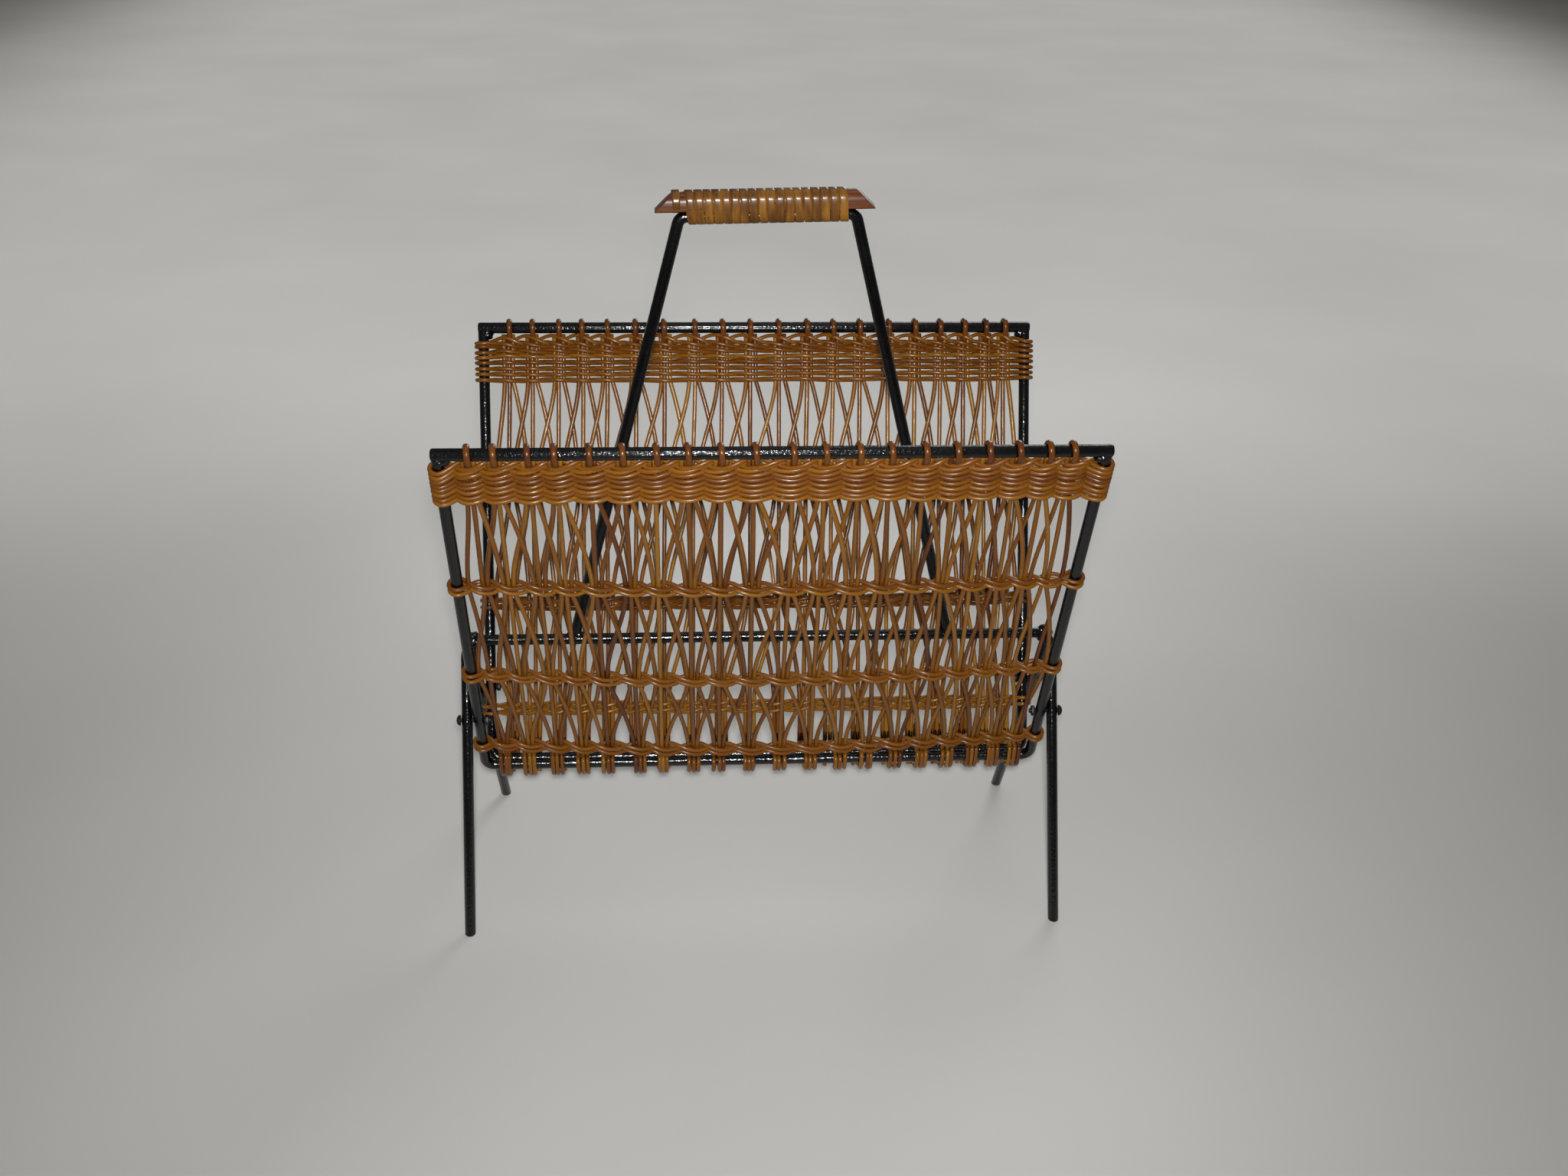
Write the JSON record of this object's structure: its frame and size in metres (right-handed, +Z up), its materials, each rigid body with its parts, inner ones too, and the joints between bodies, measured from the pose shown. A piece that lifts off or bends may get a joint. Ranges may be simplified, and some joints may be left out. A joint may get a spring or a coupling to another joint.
{
  "type": "magazine basket",
  "caption": "Magazine rack: two woven cane panels on black steel rods, hung in a V between splayed legs, under an upright handle with a cane-bound grip.",
  "frame": {"origin": "on the floor, midway between the four feet, under the handle", "axes": "+X along the crossbar to the right, +Y from the front panel to the rear panel, +Z up"},
  "size_m": [0.4518, 0.2608, 0.5303],
  "materials": {
    "black_painted_steel": "gloss black paint on drawn steel rod",
    "black_screws": "blackened steel screws and nuts",
    "round_cane": "round reed, varnished golden brown, satin",
    "band_cane": "round reed, woven in rows, varnished golden brown, satin",
    "split_cane": "split brown cane, satin",
    "grip_cane_strap": "flat glossy cane strap"
  },
  "bodies": {
    "stand": {"front_leg_frame": "black_painted_steel", "rear_left_leg": "black_painted_steel", "rear_right_leg": "black_painted_steel", "handle_rod": "black_painted_steel", "grip_core": "split_cane", "grip_wrap": "grip_cane_strap", "front_left_pivot_screw": "black_screws", "front_left_pivot_nut": "black_screws", "front_right_pivot_screw": "black_screws", "front_right_pivot_nut": "black_screws", "rear_left_pivot_screw": "black_screws", "rear_left_pivot_nut": "black_screws", "rear_right_pivot_screw": "black_screws", "rear_right_pivot_nut": "black_screws"},
    "front_panel": {"front_top_rod": "black_painted_steel", "front_bent_rod": "black_painted_steel", "front_net": "round_cane", "front_top_band": "band_cane", "front_upper_band": "band_cane", "front_middle_band": "band_cane", "front_lower_band": "band_cane"},
    "rear_panel": {"rear_top_rod": "black_painted_steel", "rear_bent_rod": "black_painted_steel", "rear_net": "round_cane", "rear_top_band": "band_cane", "rear_upper_band": "band_cane", "rear_middle_band": "band_cane", "rear_lower_band": "band_cane"}
  },
  "joints": [
    {"name": "front_panel_swing", "type": "hinge", "parent": "stand", "child": "front_panel", "pos_m": [0, -0.02526, 0.14313], "axis": [-1, 0, 0], "range_deg": [0, 24.5]},
    {"name": "rear_panel_swing", "type": "hinge", "parent": "stand", "child": "rear_panel", "pos_m": [0, 0.02526, 0.14313], "axis": [1, 0, 0], "range_deg": [0, 17]}
  ]
}
